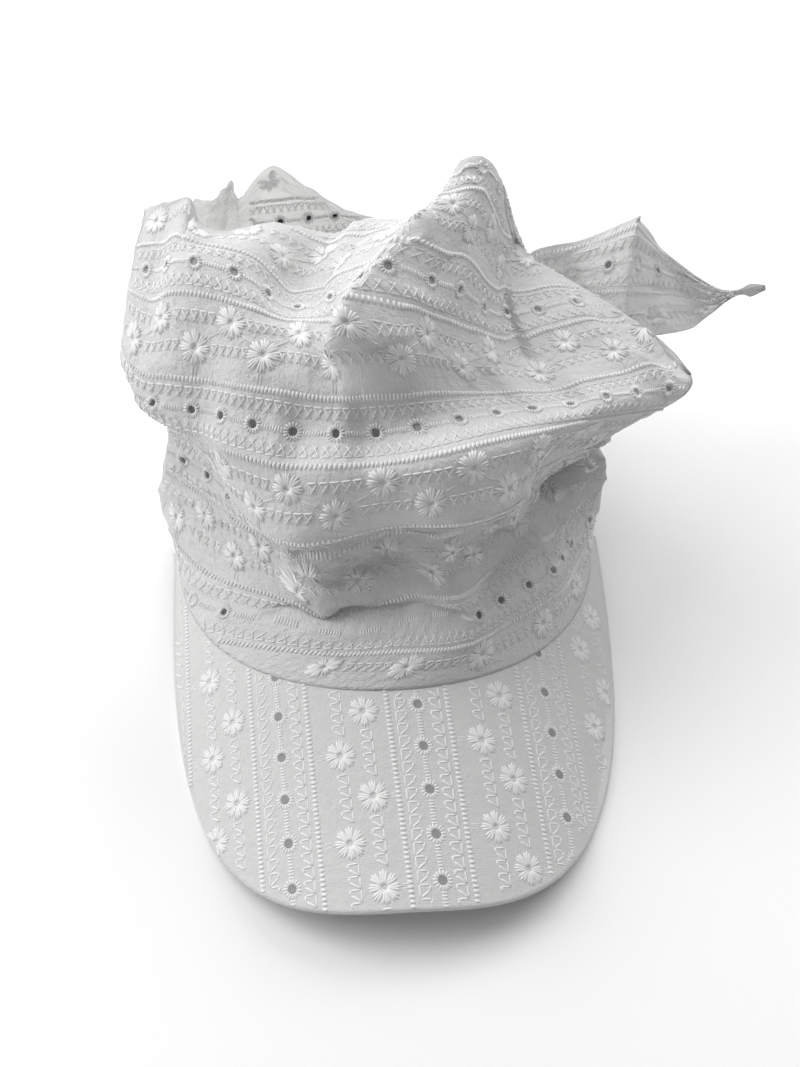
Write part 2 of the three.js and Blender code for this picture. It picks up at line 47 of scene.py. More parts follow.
# ---------------------------------------------------------------- studio table
# A plain sweep of white paper, a camera that looks down at the cap from in front, five soft square
# lights to the left, behind and above, and a weak even fill.
LAMP_SIDE, FILL = 0.8, 0.24
LIT_POINT = Vector((0, 0, 0.06))
# name, place in metres, watts
LAMPS = [
    ("window on the left", (-1.1, 0.25, 0.6), 8.5),
    ("high left light", (-0.55, 0.45, 1.15), 5.2),
    ("soft box behind", (0, 1, 0.8), 5),
    ("overhead light", (0, 0, 1.3), 2.1),
    ("right rear light", (0.8, 0.7, 0.9), 5.8),
]
brim_low, brim_high = (Vector(corner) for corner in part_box("brim"))
# The measured drawing of the cap has its origin between the ends of the peak, 7 mm behind them.
DRAWING = np.array([(brim_low.x + brim_high.x) / 2 * 1000 - 0.4, brim_low.y * 1000 + 161, 0.0])

bpy.ops.mesh.primitive_plane_add(size=6, location=(0, 0, 0))
floor = bpy.context.object
floor.name = "floor"
paper = bpy.data.materials.new("paper sweep")
paper.use_nodes = True
paper.node_tree.nodes["Principled BSDF"].inputs["Base Color"].default_value = (0.97, 0.97, 0.97, 1)
paper.node_tree.nodes["Principled BSDF"].inputs["Roughness"].default_value = 0.9
floor.data.materials.append(paper)

# The camera's place in the drawing, its turn to the left and its tilt down.
EYE = (np.array([-8.7, -287.5, 390.6]) + DRAWING) / 1000
TURN, TILT = math.radians(-3), math.radians(53)
backward = Vector((math.sin(TURN) * math.cos(TILT), -math.cos(TURN) * math.cos(TILT), math.sin(TILT)))
rightward = Vector((math.cos(TURN), math.sin(TURN), 0))
bpy.ops.object.camera_add()
camera = bpy.context.object
camera.name = "camera"
camera.matrix_world = Matrix.Translation(EYE) @ Matrix(
    (rightward, backward.cross(rightward), backward)).transposed().to_4x4()
camera.data.sensor_fit = 'HORIZONTAL'
camera.data.sensor_width = 36
camera.data.lens = 51.75
camera.data.clip_start = 0.01
bpy.context.scene.camera = camera

for name, eye, power in LAMPS:
    bpy.ops.object.light_add(type='AREA')
    lamp = bpy.context.object
    lamp.name = name
    lamp.data.size = LAMP_SIDE
    lamp.data.energy = power
    lamp.location = eye
    lamp.rotation_euler = (LIT_POINT - Vector(eye)).to_track_quat('-Z', 'Y').to_euler()

world = bpy.data.worlds.new("studio")
bpy.context.scene.world = world
world.use_nodes = True
world.node_tree.nodes["Background"].inputs["Color"].default_value = (1, 1, 1, 1)
world.node_tree.nodes["Background"].inputs["Strength"].default_value = FILL
bpy.context.scene.view_settings.view_transform = 'Standard'


# ---------------------------------------------------------------- crown: the cloth
# One length of white cotton lawn, sewn into a tube, its hem sewn over the peak and its top left to
# fold. Drawn in millimetres: s runs along the stripes, v is the level up the cloth and t the height
# up the pattern.
LEVELS = [0, 27, 55, 90, 122, 152, 182, 212]
BROW, TOP = LEVELS[4], LEVELS[7]
HEAD = {"half": 84, "front": 80, "back": 98, "middle": -7}
BRIM = {"half": 85.5, "reach": 154, "square": 2.95, "rise": 32, "pitch": 10, "arch": 33,
        "thick": 2.6, "tuck": 1.5, "lean": 1.5}
GAP = 0.35
# s, cut, then the low roll, the deep tuck and the wall over it
LOW = [
    (-130, 30, (-90, 5, 31), (-86, 11, 47), (-83, 17, 68)),
    (-100, 24, (-69, -25, 33), (-67, -11, 49), (-66, -5, 72)),
    (-70, 12, (-46, -49, 36), (-46, -35, 50), (-52, -36, 76)),
    (-40, 2, (-19, -67, 40), (-27, -55, 54), (-32, -58, 83)),
    (-12, 0, (6, -69, 44), (-1, -48, 58), (-1, -57, 88)),
    (16, 0, (26, -70, 46), (20, -56, 64), (23, -62, 95)),
    (44, 0, (42, -57, 41), (33, -41, 58), (42, -50, 88)),
    (72, 0, (62, -42, 36), (50, -25, 52), (53, -31, 81)),
    (100, 0, (72, -26, 30), (68, -8, 46), (72, -14, 72)),
    (120, 0, (87, -5, 27), (88, -1, 44), (88, 2, 63)),
]
# s, height up the pattern, then brow, shelf, dome and top
HIGH = [
    (-130, 210, (-95, 20, 88), (-92, 28, 106), (-88, 45, 118), (-84, 66, 125)),
    (-112, 207, (-87, 1, 90), (-82, 10, 110), (-77, 34, 124), (-72, 60, 133)),
    (-98, 205, (-75, -10, 94), (-71, 2, 117), (-70, 26, 133), (-64.5, 55, 137.5)),
    (-84, 211, (-62, -17, 98), (-59, -2, 121), (-58, 23, 138), (-58, 50, 127.5)),
    (-66, 218, (-51, -28, 104), (-45, -8, 127), (-42, 22, 135), (-36, 52, 128)),
    (-46, 223, (-35, -37, 107), (-30, -9, 127), (-30, 23, 121), (-15, 53, 122)),
    (-28, 226, (-18, -43, 112), (-17, -12, 127), (-17, 21, 130), (-5, 53, 127.5)),
    (-10, 228, (-2, -47, 117), (-6, -18, 136), (-2, 16, 141), (12, 48, 132)),
    (8, 231, (14, -48, 121), (7, -15, 133), (14, 15, 151), (23, 49, 142)),
    (23, 232, (28, -43, 119), (16, -9, 124), (25, 18, 146), (31, 54, 151)),
    (37, 233, (40, -37, 115), (25, -3, 115), (33, 25, 139), (40, 58, 148)),
    (51, 231, (51, -32, 111), (38, 1, 108), (38, 30, 124), (46, 62, 136)),
    (65, 225, (63, -26, 106), (52, 4, 101), (44, 34, 110), (50, 64, 117)),
    (79, 213, (74, -20, 101), (67, 7, 100), (55, 33, 103), (57, 62, 103)),
    (95, 204, (86, -13, 95), (82, 10, 98), (72, 34, 101), (66, 58, 99)),
    (108, 175, (97, -7, 88), (97, 6, 97), (91, 20, 96), (89, 36, 97)),
    (120, 140, (106, -2, 83), (113, 2, 87), (114, 8, 89), (111, 17, 91)),
]
# level and how far the back stands out behind its plain drop
BACK = [(0, 0), (27, 6), (55, 11), (90, 16), (122, 19), (152, 18), (182, 12), (212, 0)]
GATHERS = {"count": 11, "deep": 2.2}
# pressed folds: from (s, t) to (s, t), width and lift
FOLDS = [
    (-24, 156, 8, 198, 10, 5),
    (8, 198, 14, 222, 10, 2),
    (-36, 176, -24, 214, 9, -3),
    (10, 172, 40, 200, 14, -2),
    (-100, 180, -90, 206, 9, -1.5),
    (-92, 120, -30, 116, 14, 3),
    (-20, 116, 96, 124, 12, 2),
    (-118, 112, -62, 60, 9, -3),
    (20, 30, 72, 46, 10, -2.5),
    (46, 78, 74, 62, 16, 5),
]
# finer fold edges: from (s, t) to (s, t), how far each flank reaches (left of that line, then
# right of it), and how the edge is drawn across, forwards (negative) and up
PLEATS = [
    (-20, 155, 6, 184, 3.2, 12, (-5.5, -1, 4.5)),
    (-38, 160, 34, 164, 34, 30, (0, -2.7, 3.6)),
    (-16, 160, 46, 164, 34, 30, (0, -3.6, 4.8)),
    (-38, 126, 44, 130, 28, 16, (0, 2.7, -3.6)),
    (-14, 129, 66, 131, 28, 18, (0, 4.0, -5.2)),
    (-18, 154, 6, 158, 12, 3.5, (0, -2.2, -0.4)),
    (74, 214, 65, 160, 4, 7, (0, 5, -2.5)),
    (-56, 80, -40, 77, 9, 13, (0, 6, 2)),
    (-40, 77, 38, 77, 10, 16, (0, 10, 2)),
    (-66, 84, -58, 52, 12, 3, (2, -2, 0)),
    (-58, 52, -40, 40, 3, 6, (0, -2, 0)),
    (-60, 33, -36, 37, 5, 8, (0.5, 4, 0.5)),
    (-36, 37, 10, 29, 6, 10, (0, 5, 0.5)),
    (-48, 37, -16, 34, 10, 9, (0, -0.5, -4)),
    (98, 56, 118, 72, 8, 7, (-10, 15, 2)),
    (116, 142, 124, 142, 12, 12, (-1.8, 0, -1.2)),
    (78, 36, 104, 44, 3, 9, (0, -2.5, 0)),
    (52, 92, 84, 60, 7, 4, (0, -2, 1)),
    (-92, 192, -86, 212, 4, 7, (-1, -1, 2)),
]
PLEAT_END = 11                           # a fold edge dies out over this length
SMOOTH = 0.22                            # how far the cloth is crumpled where nothing crushes it
# where it is crushed: middle (s, t), reach both ways, how much
CRUSHED = [
    (-10, 62, 62, 26, 1.3), (100, 60, 34, 40, 1.2), (-104, 70, 30, 50, 1.1), (66, 100, 46, 16, 1.1),
    (24, 222, 24, 12, 0.8), (-112, 122, 20, 14, 0.9), (245, 60, 120, 60, 0.5), (20, 170, 30, 20, 0.3),
]
FIRST, LAST = HIGH[0][0], HIGH[-1][0]    # the left and right edges of the front
WIDTH = LAST - FIRST
END = LAST + WIDTH                       # back at the left edge, once round
BANDS = (28, 78, 128, 178, 228)          # heights of the rows of eyelets
PITCH, MIDDLE = 15.5, 3.7                # eyelet to eyelet, and where s = 0 falls among them
SHUT = (-80, 8)                          # eyelets of the lowest band drawn shut in its tuck
OPEN_RADIUS = 1.55
WRINKLES = (24, 19, 15, 12.5, 10, 8.5, 7.5, 6.5, 6)     # fold to fold, one layer each
HELD = 8                                 # the seam holds the cloth still; it is free this far up
FACING, FACING_FROM = (-127, -115), 130  # a strip turned in by the left edge, from this level up
DRIFT = 8.5                              # how far the low front is pulled sideways
COLUMNS, ROWS, IN_FRONT = 300, 126, 0.7  # the grid of the crown, and the share of it in front
CROWN_THICK = 0.6


def curve(knots, values, x):
    """Smooth curve through rows of values at the knots; a table of rows, or one table a sample."""
    knots, values = np.asarray(knots, float), np.asarray(values, float)
    x = np.clip(np.asarray(x, float), knots[0], knots[-1])
    last = len(knots) - 1
    i = np.clip(np.searchsorted(knots, x, side='right') - 1, 0, last - 1)
    samples = np.arange(len(x))

    def row(k):
        return values[k] if values.ndim == 2 else values[samples, k]

    def slope(k):
        a, b = np.maximum(k - 1, 0), np.minimum(k + 1, last)
        return (row(b) - row(a)) / (knots[b] - knots[a])[:, None]

    h = (knots[i + 1] - knots[i])[:, None]
    u = (x[:, None] - knots[i][:, None]) / h
    return ((2 * u ** 3 - 3 * u ** 2 + 1) * row(i) + (3 * u ** 2 - 2 * u ** 3) * row(i + 1)
            + (u ** 3 - 2 * u ** 2 + u) * h * slope(i) + (u ** 3 - u ** 2) * h * slope(i + 1))


def column(table, k):
    return np.array([np.atleast_1d(row[k]) for row in table], float)


def brim_top(x, y):
    """The peak is arched from side to side and slopes down forwards."""
    front = HEAD["middle"] - HEAD["front"]
    slope = math.tan(math.radians(BRIM["pitch"]))
    z = BRIM["rise"] + slope * (y - front) - BRIM["arch"] * (x / HEAD["half"]) ** 2
    return np.maximum(z, BRIM["thick"])


hem_angles = np.linspace(-math.pi / 2, math.pi / 2, 721)
hem_x = HEAD["half"] * np.sin(hem_angles)
hem_y = HEAD["middle"] - HEAD["front"] * np.cos(hem_angles)
hem_line = np.c_[hem_x, hem_y, brim_top(hem_x, hem_y)]
hem_run = np.r_[0, np.cumsum(np.linalg.norm(np.diff(hem_line, axis=0), axis=1))]


def hem_front(s):
    half = hem_run[-1] / 2
    run = np.where(s < 0, half - s * half / FIRST, half + s * half / LAST)
    angle = np.interp(run, hem_run, hem_angles)
    x, y = HEAD["half"] * np.sin(angle), HEAD["middle"] - HEAD["front"] * np.cos(angle)
    return np.c_[x, y, brim_top(x, y) + GAP]


LOW_S, HIGH_S = column(LOW, 0)[:, 0], column(HIGH, 0)[:, 0]


def cut_and_height(s):
    return curve(LOW_S, column(LOW, 1), s)[:, 0], curve(HIGH_S, column(HIGH, 1), s)[:, 0]


def up_the_pattern(v, cut, height):
    return np.where(v <= BROW, cut + v * (BROW - cut) / BROW,
                    BROW + (v - BROW) * (height - BROW) / (TOP - BROW))


def front_base(s, v):
    """The form of the front: a smooth curve up through the hem and the two tables."""
    parts = [hem_front(s)] + [curve(LOW_S, column(LOW, k), s) for k in (2, 3, 4)]
    parts += [curve(HIGH_S, column(HIGH, k), s) for k in (2, 3, 4, 5)]
    return curve(LEVELS, np.stack(parts, axis=1), v)


def pleat(s, t):
    """How far the fold edges draw the cloth, as steps across, forwards and up."""
    pulled = np.zeros((len(s), 3))
    for s0, t0, s1, t1, left, right, pull in PLEATS:
        ds, dt = s1 - s0, t1 - t0
        length = math.hypot(ds, dt)
        along = ((s - s0) * ds + (t - t0) * dt) / length
        side = (ds * (t - t0) - dt * (s - s0)) / length
        flank = np.clip(np.where(side > 0, side / left, -side / right), 0, 1)
        past = np.clip(np.maximum(-along, along - length) / PLEAT_END, 0, 1)
        reach = (1 - flank ** 2) ** 2 * (1 - past) ** 2 * (1 + 2 * past)
        pulled += reach[:, None] * np.array(pull)
    return pulled


def crumple(s, t):
    """Fine wrinkles, sharpest where the cloth is crushed; most run along the stripes."""
    random = np.random.default_rng(11)
    amount = SMOOTH
    for s0, t0, far_s, far_t, strength in CRUSHED:
        off = np.hypot((s - s0) / far_s, (t - t0) / far_t)
        amount = np.maximum(amount, strength * np.clip(1.6 - 1.3 * off, 0, 1))
    height = np.zeros(len(s))
    for wavelength in WRINKLES:
        angle = math.pi / 2 + random.normal(0, 0.33)
        start, bend, reach = random.uniform(0, 6.28), random.uniform(0, 6.28), random.uniform(14, 30)
        across = s * math.cos(angle) + t * math.sin(angle) + 2.2 * np.sin(s / reach + bend)
        here = 0.5 + 0.5 * np.sin(s / (reach * 0.7) + t / 23 + start * 2)
        crease = (1 - np.abs(np.sin(math.pi * across / wavelength + start))) ** 1.7
        height += 0.05 * wavelength * here * crease
    return 1.7 * (height - 1.2) * amount


def crown_front(s, v):
    """The front with its folds, wrinkles, facing and fold edges."""
    s, v = np.asarray(s, float), np.asarray(v, float)
    point = front_base(s, v)
    t = up_the_pattern(v, *cut_and_height(s))
    lift = np.zeros(len(s))
    for s0, t0, s1, t1, wide, high in FOLDS:
        ds, dt = s1 - s0, t1 - t0
        near = np.clip(((s - s0) * ds + (t - t0) * dt) / (ds * ds + dt * dt), 0, 1)
        off = np.hypot(s - s0 - near * ds, t - t0 - near * dt) / wide
        reach = np.clip(1 - off, 0, 1) ** 1.5 * np.sin(math.pi * np.minimum(0.5, 0.15 + near))
        lift += high * reach
    e = 0.5
    across = front_base(np.minimum(s + e, LAST), v) - front_base(np.maximum(s - e, FIRST), v)
    up = front_base(s, np.minimum(v + e, TOP)) - front_base(s, np.maximum(v - e, 0))
    normal = np.cross(across, up)
    normal /= np.linalg.norm(normal, axis=1)[:, None]
    free = np.clip(v / HELD, 0, 1)
    facing = np.clip((s - FACING[0]) / 1.2, 0, 1) * np.clip((FACING[1] - s) / 1.2, 0, 1)
    facing = 0.5 * facing * np.clip((v - FACING_FROM) / 8, 0, 1)
    lift += (crumple(s, t) + facing) * free
    return point + normal * lift[:, None] + pleat(s, t) * free[:, None]


def hem_back(a):
    """Behind, the hem stands on the table; it comes down to it from the two ends of the peak."""
    angle = math.pi * a
    lift = np.clip(1 - np.minimum(a, 1 - a) / 0.22, 0, 1) ** 1.6
    height = hem_front(np.array([LAST]))[0, 2]
    return np.c_[HEAD["half"] * np.cos(angle), HEAD["middle"] + HEAD["back"] * np.sin(angle), lift * height]


def crown_back(a, v):
    """The hidden drop, from hem to crest, a from the right edge (0) to the left (1), gathered."""
    a, v = np.asarray(a, float), np.asarray(v, float)
    w = (v / TOP)[:, None]
    crest = crown_front(LAST + a * (FIRST - LAST), np.full(len(a), TOP))
    point = hem_back(a) * (1 - w) + crest * w
    for edge, near in ((LAST, 1 - a), (FIRST, a)):
        at = np.full(len(a), edge)
        straight = crown_front(at, at * 0) * (1 - w) + crown_front(at, at * 0 + TOP) * w
        point += (crown_front(at, v) - straight) * (near ** 3)[:, None]
    round_ = np.sin(math.pi * a)
    out = curve(column(BACK, 0)[:, 0], column(BACK, 1), v)[:, 0]
    point[:, 1] += out * np.maximum(round_, 0) ** 0.6
    loose = round_ * np.sin(math.pi * w[:, 0])
    point[:, 1] += GATHERS["deep"] * np.sin(GATHERS["count"] * math.pi * a) * loose
    point[:, 1] += crumple(LAST + a * WIDTH, v) * loose
    return point


def crown_point(s, v):
    """The whole tube: s runs on from the right edge round the back to the left edge."""
    s, v = np.asarray(s, float), np.asarray(v, float)
    front = crown_front(np.clip(s, FIRST, LAST), v)
    back = crown_back(np.clip((s - LAST) / WIDTH, 0, 1), v)
    return np.where((s <= LAST)[:, None], front, back)


def to_metres(points):
    return (points + DRAWING) / 1000


def flat_cloth(name, columns, rows):
    """A flat grid of cloth, to be laid over its form; gives the piece and its places from 0 to 1."""
    bpy.ops.mesh.primitive_grid_add(x_subdivisions=columns, y_subdivisions=rows, size=1)
    piece = bpy.context.object
    piece.name = piece.data.name = name
    flat = np.empty(len(piece.data.vertices) * 3)
    piece.data.vertices.foreach_get("co", flat)
    return piece, flat.reshape(-1, 3)[:, :2] + 0.5


def pierce(places, columns, rows, holes, radii):
    """Opens the grid at each hole and draws the cloth round it to a ring; gives what to delete."""
    radii = np.broadcast_to(radii, (len(holes), 2))
    grid = places.reshape(rows + 1, columns + 1, 2)
    steps = np.gradient(grid[0, :, 0])
    line = grid[0, :, 0].copy()
    gone = np.zeros((rows + 1, columns + 1), bool)
    rings = []
    for hole in holes:
        away = grid - np.asarray(hole)
        near = np.hypot(away[..., 0], away[..., 1])
        out = near < 0.76 * max(np.interp(hole[0], line, steps), grid[1, 0, 1] - grid[0, 0, 1])
        gone |= out
        j, i = np.nonzero(out)
        ring = {(y + dy, x + dx) for y, x in zip(j, i) for dy in (-1, 0, 1) for dx in (-1, 0, 1)}
        rings.append((hole, [p for p in ring if 0 <= p[0] <= rows and 0 <= p[1] <= columns]))
    for (hole, ring), radius in zip(rings, radii):
        for y, x in ring:
            if not gone[y, x]:
                away = grid[y, x] - np.asarray(hole)
                grid[y, x] = np.asarray(hole) + away * radius / max(np.hypot(*away), 1e-6)
    return grid.reshape(-1, 2), gone.ravel()


def lay(piece, points, uv, gone=None):
    """Moves the grid onto its form, keeps the cloth's own measure as its UV map, clears the holes."""
    mesh = piece.data
    mesh.vertices.foreach_set("co", to_metres(points).ravel())
    corners = np.empty(len(mesh.loops), int)
    mesh.loops.foreach_get("vertex_index", corners)
    mesh.uv_layers[0].data.foreach_set("uv", (uv[corners] / 1000).ravel())
    bpy.ops.object.mode_set(mode='EDIT')
    bpy.ops.mesh.select_all(action='DESELECT')
    bpy.ops.object.mode_set(mode='OBJECT')
    if gone is not None:
        mesh.vertices.foreach_set("select", gone)
        bpy.ops.object.mode_set(mode='EDIT')
        bpy.ops.mesh.delete(type='VERT')
        bpy.ops.object.mode_set(mode='OBJECT')
    mesh.update()


def finish_cloth(piece, thick):
    """Closes the tube where its edges meet, and gives the sheet its thickness, inwards."""
    bpy.ops.object.mode_set(mode='EDIT')
    bpy.ops.mesh.select_all(action='SELECT')
    bpy.ops.mesh.remove_doubles(threshold=0.00002)
    bpy.ops.object.mode_set(mode='OBJECT')
    wall = piece.modifiers.new("thickness", 'SOLIDIFY')
    wall.thickness = thick / 1000
    wall.offset = -1
    bpy.ops.object.modifier_apply(modifier=wall.name)
    bpy.ops.object.shade_smooth()
    piece.select_set(False)


def drift(s, t):
    """The low front is pulled sideways as it is gathered into the seam."""
    return DRIFT * np.clip((58 - t) / 40, 0, 1) * np.clip((118 - np.abs(s + 5)) / 40, 0, 1)


def cut_and_height_round(s):
    """Hem cut and crest height of the pattern, on the front and as they run on round the back."""
    cut, height = cut_and_height(np.clip(s, FIRST, LAST))
    a = np.clip((s - LAST) / WIDTH, 0, 1)
    cut_behind = np.interp(a, [0, 0.7, 1], [0, 0, LOW[0][1]])
    height_behind = np.interp(a, [0, 0.12, 0.3, 0.7, 1], [HIGH[-1][1], 196, 214, 214, HIGH[0][1]])
    return np.where(s <= LAST, cut, cut_behind), np.where(s <= LAST, height, height_behind)


def level_of(s, t):
    """The level on the cloth of a height up the pattern."""
    cut, height = cut_and_height_round(s)
    low = (t - cut) / (BROW - cut) * BROW
    high = BROW + (t - BROW) / (height - BROW) * (TOP - BROW)
    return np.where(t <= BROW, low, high)


def drawn_shut(s, t):
    return (t == BANDS[0]) & (SHUT[0] < s) & (s < SHUT[1])


def eyelet_places():
    """Eyelets by (s, v), clear of both edges of the front and of the hem and crest."""
    s, t = np.array([((k - MIDDLE) * PITCH, t) for t in BANDS for k in range(-4, 29)], float).T
    clear = (s > FIRST + 4) & (s < END - 4) & ((s < LAST - 3) | (s > LAST + 4)) & ~drawn_shut(s, t)
    s, t = s[clear], t[clear]
    s = s + drift(s, t)
    v = level_of(s, t)
    return np.c_[s, v][(v > 5) & (v < TOP - 5)]


def stretch(surface, a, b, step=2.0):
    """How many millimetres of the form lie under each millimetre of the drawing, both ways."""
    a, b = np.asarray(a, float), np.asarray(b, float)
    along = np.linalg.norm(surface(a + step, b) - surface(a - step, b), axis=1) / step / 2
    up = np.linalg.norm(surface(a, b + step) - surface(a, b - step), axis=1) / step / 2
    return np.clip(np.c_[along, up], 0.7, 2)


crown, flat = flat_cloth("crown_cloth", COLUMNS, ROWS)
round_the_cap = np.interp(flat[:, 0], [0, IN_FRONT, 1], [FIRST, LAST, END])
places = np.c_[round_the_cap, TOP * flat[:, 1]]
holes = eyelet_places()
radii = OPEN_RADIUS / stretch(crown_point, holes[:, 0], holes[:, 1])
places, gone = pierce(places, COLUMNS, ROWS, holes, radii)
s, v = places.T
lay(crown, crown_point(s, v), np.c_[s, up_the_pattern(v, *cut_and_height_round(s))], gone)
finish_cloth(crown, CROWN_THICK)


WEAVE = 0.0004                           # metres from yarn to yarn


def cotton(name, colour, weave, through, crease):
    """Cotton lawn: a fine plain weave by the cloth's own measure, uneven yarns, light through it."""
    made = bpy.data.materials.new(name)
    made.use_nodes = True
    nodes, links = made.node_tree.nodes, made.node_tree.links
    shader, output = nodes["Principled BSDF"], nodes["Material Output"]
    uv = nodes.new("ShaderNodeUVMap")
    bands = []
    for turn in (0, math.pi / 2):
        mapping = nodes.new("ShaderNodeMapping")
        mapping.inputs["Rotation"].default_value = (0, 0, turn)
        links.new(uv.outputs["UV"], mapping.inputs["Vector"])
        wave = nodes.new("ShaderNodeTexWave")
        wave.inputs["Scale"].default_value = 1 / weave / 20 * 3.14
        wave.inputs["Distortion"].default_value = 1.2
        wave.inputs["Detail"].default_value = 1
        links.new(mapping.outputs["Vector"], wave.inputs["Vector"])
        bands.append(wave)
    plain = nodes.new("ShaderNodeMath")
    plain.operation = 'MAXIMUM'
    links.new(bands[0].outputs["Fac"], plain.inputs[0])
    links.new(bands[1].outputs["Fac"], plain.inputs[1])
    slub = nodes.new("ShaderNodeTexNoise")
    slub.inputs["Scale"].default_value = 160
    slub.inputs["Detail"].default_value = 4
    links.new(uv.outputs["UV"], slub.inputs["Vector"])
    tone = nodes.new("ShaderNodeMixRGB")
    tone.inputs["Color1"].default_value = tuple(c * 0.93 for c in colour) + (1,)
    tone.inputs["Color2"].default_value = tuple(colour) + (1,)
    links.new(slub.outputs["Fac"], tone.inputs["Fac"])
    links.new(tone.outputs["Color"], shader.inputs["Base Color"])
    together = nodes.new("ShaderNodeMath")
    together.operation = 'MULTIPLY_ADD'
    together.inputs[1].default_value = 0.6
    links.new(plain.outputs["Value"], together.inputs[0])
    links.new(slub.outputs["Fac"], together.inputs[2])
    crinkle = nodes.new("ShaderNodeTexNoise")
    crinkle.inputs["Scale"].default_value = 330
    crinkle.inputs["Detail"].default_value = 5
    crinkle.inputs["Roughness"].default_value = 0.62
    links.new(uv.outputs["UV"], crinkle.inputs["Vector"])
    creased = nodes.new("ShaderNodeBump")
    creased.inputs["Strength"].default_value = 1
    creased.inputs["Distance"].default_value = crease / 1000
    links.new(crinkle.outputs["Fac"], creased.inputs["Height"])
    bump = nodes.new("ShaderNodeBump")
    bump.inputs["Strength"].default_value = 0.5
    bump.inputs["Distance"].default_value = 0.0002
    links.new(together.outputs["Value"], bump.inputs["Height"])
    links.new(creased.outputs["Normal"], bump.inputs["Normal"])
    links.new(bump.outputs["Normal"], shader.inputs["Normal"])
    shader.inputs["Roughness"].default_value = 0.88
    shader.inputs["Sheen Weight"].default_value = 0.25
    shader.inputs["Sheen Roughness"].default_value = 0.5
    shader.inputs["Specular IOR Level"].default_value = 0.2
    if through:
        glow = nodes.new("ShaderNodeBsdfTranslucent")
        glow.inputs["Color"].default_value = tuple(colour) + (1,)
        links.new(bump.outputs["Normal"], glow.inputs["Normal"])
        mix = nodes.new("ShaderNodeMixShader")
        mix.inputs["Fac"].default_value = through
        links.new(shader.outputs["BSDF"], mix.inputs[1])
        links.new(glow.outputs["BSDF"], mix.inputs[2])
        links.new(mix.outputs["Shader"], output.inputs["Surface"])
    return made


lawn = cotton("white cotton lawn", (0.88, 0.88, 0.875), WEAVE, 0.25, 1.3)
crown.data.materials.append(lawn)
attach(crown, "root")
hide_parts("crown")


# ---------------------------------------------------------------- crown: the embroidery
# Schiffli work in white cotton thread: bands of eyelets joined by satin bars, feather stitch and a
# bead of cord on either side, and between them two staggered rows of daisies with small pennants.
# Every stitch is a short plump thread laid on the cloth: from (x, y), to (x, y), width, height.
BAND = {"feather": 8.2, "feather tip": 4.3, "cord": 11, "daisies": (22, 32)}    # from the eyelets
HOLE, RING = 1.4, 3.4                    # where the stitches round an eyelet begin and end
AFTER_RING, BEFORE_RING = 3.9, 3.4       # a satin bar starts and ends this far from two eyelets
DAISY, OFF_DAISY = 6.2, 6.6              # a daisy's radius, and where the pennants beside it begin


def cord_row(start, end, at):
    """Close slanting stitches that look like a twisted cord."""
    return [(x, at - 1.0, x + 0.45, at + 1.0, 1.35, 0.75) for x in np.arange(start, end, 1.55)]


def satin_bar(start, end, at):
    return [(x, at - 1.05, x + 0.1, at + 1.05, 0.8, 0.45) for x in np.arange(start, end, 1.05)]


def worked_eyelet(x, y, on=(1, 1)):
    """Overcast stitches round an eyelet; on is the stretch of the cloth there, both ways."""
    made = []
    for q in np.arange(15) * 2 * math.pi / 15:
        a, b = math.cos(q) / on[0], math.sin(q) / on[1]
        made.append((x + HOLE * a, y + HOLE * b, x + RING * a, y + RING * b, 0.9, 0.75))
    return made


def feather(start, end, stem, tip, unit=3.8, crossed=True):
    """A stem of running stitch with open loops to one side; crossed, they draw up to diamonds."""
    made = []
    for x in np.arange(start, end, unit):
        made.append((x, stem, x + unit * 0.98, stem, 0.65, 0.5))
        if crossed:
            made += [(x + 0.1, stem, x + unit * 0.8, tip, 0.6, 0.45),
                     (x + unit * 0.25, tip, x + unit * 0.95, stem, 0.6, 0.55)]
        else:
            made += [(x + 0.1, stem, x + unit * 0.06, tip, 0.85, 0.65),
                     (x + unit * 0.04, tip, x + unit * 0.42, tip * 0.9 + stem * 0.1, 0.85, 0.65),
                     (x + unit * 0.4, tip * 0.95 + stem * 0.05, x + unit * 0.98, stem, 0.9, 0.7)]
    return made


def daisy(x, y, size=DAISY, on=(1, 1)):
    """Eight petals of three satin stitches each."""
    made = []
    for petal in range(8):
        for lean, far in ((-0.2, 0.93), (0, 1), (0.2, 0.93)):
            q = petal * math.pi / 4 + lean
            a, b = math.cos(q) / on[0], math.sin(q) / on[1]
            made.append((x + 0.7 * a, y + 0.7 * b, x + size * far * a, y + size * far * b, 1.2, 0.7))
    return made


def pennants(start, end, y, count=5, crossed=True):
    """The short length of feather stitch between two daisies of a row."""
    unit = (end - start) / count
    return feather(start, end - unit / 2, y + 1.9, y - 1.9, unit, crossed)


